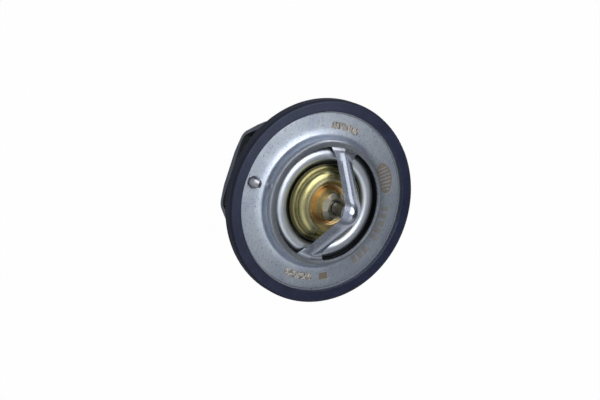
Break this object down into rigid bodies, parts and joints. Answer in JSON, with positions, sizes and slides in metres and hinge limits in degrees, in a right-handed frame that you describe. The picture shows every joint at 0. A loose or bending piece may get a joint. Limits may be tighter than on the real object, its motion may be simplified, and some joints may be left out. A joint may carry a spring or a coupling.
{
  "type": "engine thermostat",
  "caption": "Flanged wax-element coolant valve with a rubber ring, bridge, lower frame, conical spring and loose vent pin.",
  "frame": {"origin": "on the axis, in the middle of the flange and its rubber ring", "axes": "+Z along the axis from the wax capsule towards the bridge; X along the bridge; the vent pin is at -Y"},
  "size_m": [0.056, 0.056, 0.0578],
  "materials": {
    "pressed_steel": "fine brushed stainless sheet",
    "ring_rubber": "dark blue-black moulded rubber",
    "frame_steel": "pressed stainless sheet with bright cut edges",
    "piston_steel": "ground steel rod",
    "spring_steel": "drawn stainless wire",
    "valve_steel": "polished pressed stainless",
    "case_brass": "bright pressed brass",
    "guide_brass": "warm turned brass",
    "wiper_plastic": "white low-friction plastic",
    "backup_plastic": "white low-friction plastic",
    "sleeve_rubber": "black rubber",
    "wax": "copper-filled wax",
    "vent_steel": "pressed steel pin"
  },
  "bodies": {
    "housing": {"flange_bridge": "pressed_steel", "gasket": "ring_rubber", "lower_frame": "frame_steel", "piston": "piston_steel", "main_spring": "spring_steel"},
    "valve": {"valve_disc": "valve_steel", "element_case": "case_brass", "element_guide": "guide_brass", "wiper_ring": "wiper_plastic", "backup_ring": "backup_plastic", "seal_sleeve": "sleeve_rubber", "wax_charge": "wax"},
    "vent": {"vent_pin": "vent_steel"}
  },
  "joints": [
    {"name": "valve_lift", "type": "slide", "parent": "housing", "child": "valve", "axis": [0, 0, -1], "range_m": [0, 0.008], "stiffness_N_per_m": 4000, "springref_m": -0.015, "deforming": ["main_spring"]},
    {"name": "vent_slide", "type": "slide", "parent": "housing", "child": "vent", "axis": [0, 0, 1], "range_m": [0, 0.0015]}
  ]
}
